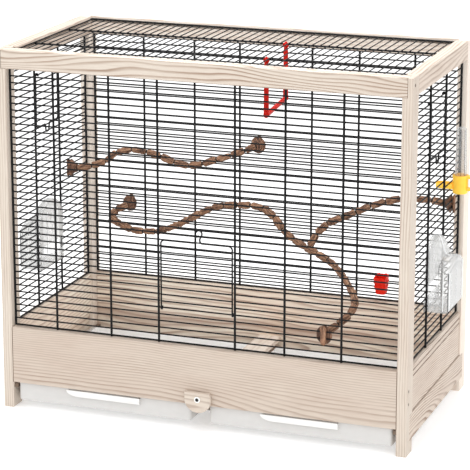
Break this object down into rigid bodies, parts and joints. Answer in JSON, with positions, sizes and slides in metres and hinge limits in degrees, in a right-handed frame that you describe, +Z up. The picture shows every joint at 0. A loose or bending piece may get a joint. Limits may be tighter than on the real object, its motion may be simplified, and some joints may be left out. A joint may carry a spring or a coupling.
{
  "type": "wooden bird cage",
  "caption": "Free-standing bird cage with a pine frame, black wire walls and roof, slide-out trays, wire doors, twisted perches, a swing, hoppers and a drinker.",
  "frame": {"origin": "on the floor, midway between the outermost points of the cage on each axis", "axes": "+X along the front to the right, +Y from the front to the back, +Z up"},
  "size_m": [0.877, 0.4366, 0.706],
  "materials": {
    "pine": "whitewashed, matte",
    "pine_inside": "plain, matte",
    "wire": "black, satin",
    "steel": "satin",
    "tray": "white, faintly translucent",
    "washer": "white",
    "bark": "rough brown bark",
    "red": "red, glossy",
    "yellow": "yellow-orange, glossy",
    "clear": "clear, glossy"
  },
  "bodies": {
    "cage": {"post_front_left": "pine", "post_front_right": "pine", "post_rear_left": "pine", "post_rear_right": "pine", "top_rail_front": "pine", "top_rail_rear": "pine", "top_rail_left": "pine", "top_rail_right": "pine", "front_panel": "pine", "rear_panel": "pine", "side_board_upper_left": "pine", "side_board_upper_right": "pine", "side_board_lower_left": "pine", "side_board_lower_right": "pine", "runner_left": "pine", "runner_right": "pine", "runner_ledge": "pine_inside", "runner_web": "pine_inside", "runner_cap": "pine_inside", "grille_front": "wire", "grille_rear": "wire", "grille_left": "wire", "grille_right": "wire", "grille_roof": "wire", "frame_screw_1": "steel", "frame_screw_2": "steel", "frame_screw_3": "steel", "frame_screw_4": "steel", "frame_screw_5": "steel", "frame_screw_6": "steel", "frame_screw_7": "steel", "frame_screw_8": "steel", "button_screw": "steel", "perch_upper": "bark", "perch_lower": "bark", "perch_fork": "bark", "perch_knob_upper_left": "bark", "perch_knob_upper_rear": "bark", "perch_knob_lower_rear": "bark", "perch_knob_lower_right": "bark", "perch_knob_lower_front": "bark", "perch_clamp_upper_left": "bark", "perch_clamp_upper_rear": "bark", "perch_clamp_lower_rear": "bark", "perch_clamp_lower_right": "bark", "perch_clamp_lower_front": "bark", "treat_clip": "red", "drinker_base": "yellow"},
    "front_door": {"front_door": "wire"},
    "side_door_left": {"side_door_left": "wire"},
    "side_door_right": {"side_door_right": "wire"},
    "tray_left": {"tray_left": "tray"},
    "tray_right": {"tray_right": "tray"},
    "turn_button": {"turn_button": "pine", "button_washer": "washer"},
    "swing": {"swing": "red"},
    "feeder_left": {"feeder_left": "clear"},
    "feeder_right": {"feeder_right": "clear"},
    "drinker_tube": {"drinker_tube": "clear"}
  },
  "joints": [
    {"name": "front_door_hinge", "type": "hinge", "parent": "cage", "child": "front_door", "pos_m": [-0.0081, -0.1917, 0.23195], "axis": [1, 0, 0], "range_deg": [0, 145]},
    {"name": "side_door_left_hinge", "type": "hinge", "parent": "cage", "child": "side_door_left", "pos_m": [-0.39405, -0.00116, 0.62795], "axis": [0, 1, 0], "range_deg": [0, 145]},
    {"name": "side_door_right_hinge", "type": "hinge", "parent": "cage", "child": "side_door_right", "pos_m": [0.39405, -0.00116, 0.62795], "axis": [0, -1, 0], "range_deg": [0, 145]},
    {"name": "tray_left_slide", "type": "slide", "parent": "cage", "child": "tray_left", "axis": [0, -1, 0], "range_m": [0, 0.28]},
    {"name": "tray_right_slide", "type": "slide", "parent": "cage", "child": "tray_right", "axis": [0, -1, 0], "range_m": [0, 0.28]},
    {"name": "turn_button_hinge", "type": "hinge", "parent": "cage", "child": "turn_button", "pos_m": [0, -0.21095, 0.0652], "axis": [0, -1, 0], "range_deg": [0, 180]},
    {"name": "swing_hinge", "type": "hinge", "parent": "cage", "child": "swing", "pos_m": [0.08778, -0.07873, 0.69925], "axis": [-0.1004, 0.9949, 0], "range_deg": [-25, 25]},
    {"name": "feeder_left_slide", "type": "slide", "parent": "cage", "child": "feeder_left", "axis": [-1, 0, 0], "range_m": [0, 0.05]},
    {"name": "feeder_right_slide", "type": "slide", "parent": "cage", "child": "feeder_right", "axis": [1, 0, 0], "range_m": [0, 0.05]},
    {"name": "drinker_tube_slide", "type": "slide", "parent": "cage", "child": "drinker_tube", "axis": [0, 0, 1], "range_m": [0, 0.03]}
  ]
}
